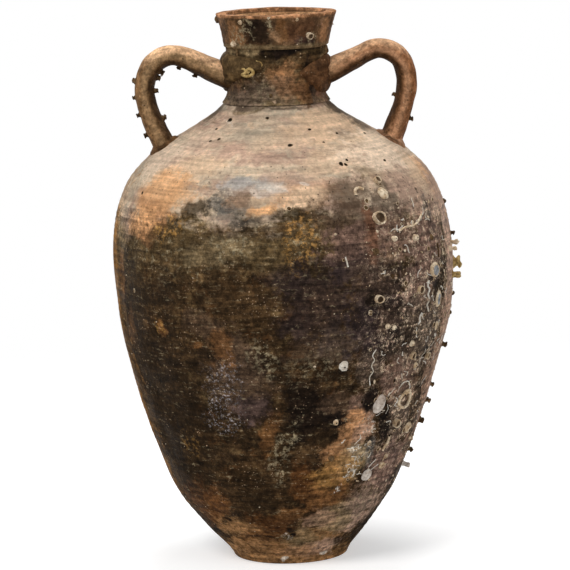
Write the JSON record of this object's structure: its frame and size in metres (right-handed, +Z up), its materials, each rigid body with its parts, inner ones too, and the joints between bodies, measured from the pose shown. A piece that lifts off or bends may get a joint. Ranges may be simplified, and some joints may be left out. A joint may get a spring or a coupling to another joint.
{
  "type": "transport amphora",
  "caption": "Flat-bottomed clay storage jar with a swelling body, short neck, flared rim collar and two looped handles, crusted with small marine growth on one flank.",
  "frame": {"origin": "centre of the flat underside", "axes": "+Z up along the jar's axis, +X through the right handle, -Y towards the front"},
  "size_m": [0.35, 0.342, 0.55],
  "materials": {
    "dark_clay": "fired clay darkened by soot and sea water, faint sheen",
    "pale_clay": "fired clay with a pale chalky film",
    "red_clay": "bare orange-brown fired clay, worn",
    "chalk_growth": "rough chalky shell"
  },
  "bodies": {
    "root": {"foot_disc": "dark_clay", "lower_body": "dark_clay", "upper_body": "pale_clay", "shoulder": "pale_clay", "neck": "dark_clay", "rim_collar": "red_clay", "left_handle": "red_clay", "right_handle": "red_clay", "left_neck_clay": "red_clay", "right_neck_clay": "red_clay", "left_shoulder_clay": "red_clay", "right_shoulder_clay": "red_clay", "barnacle_01": "chalk_growth", "barnacle_02": "chalk_growth", "barnacle_03": "chalk_growth", "barnacle_04": "chalk_growth", "barnacle_05": "chalk_growth", "barnacle_06": "chalk_growth", "barnacle_07": "chalk_growth", "barnacle_08": "chalk_growth", "bead_01": "chalk_growth", "bead_02": "chalk_growth", "bead_03": "chalk_growth", "bead_04": "chalk_growth", "bead_05": "chalk_growth", "bead_06": "chalk_growth", "stalk_01": "chalk_growth", "stalk_02": "chalk_growth", "stalk_03": "chalk_growth", "stalk_04": "chalk_growth", "stalk_05": "chalk_growth", "stalk_06": "chalk_growth", "stalk_07": "chalk_growth", "stalk_08": "chalk_growth", "stalk_09": "chalk_growth", "stalk_10": "chalk_growth", "stalk_11": "chalk_growth", "shell_plate_01": "chalk_growth", "shell_plate_02": "chalk_growth", "shell_plate_03": "chalk_growth", "shell_plate_04": "chalk_growth", "shell_plate_05": "chalk_growth", "worm_ring_01": "chalk_growth", "worm_ring_02": "chalk_growth", "worm_ring_03": "chalk_growth", "worm_tube_01": "chalk_growth", "worm_tube_02": "chalk_growth", "worm_tube_03": "chalk_growth", "handle_stalk_01": "chalk_growth", "handle_stalk_02": "chalk_growth", "handle_stalk_03": "chalk_growth", "handle_stalk_04": "chalk_growth", "handle_stalk_05": "chalk_growth", "handle_stalk_06": "chalk_growth", "handle_stalk_07": "chalk_growth", "handle_stalk_08": "chalk_growth", "handle_stalk_09": "chalk_growth", "handle_stalk_10": "chalk_growth", "handle_stalk_11": "chalk_growth", "handle_stalk_12": "chalk_growth"}
  },
  "joints": []
}
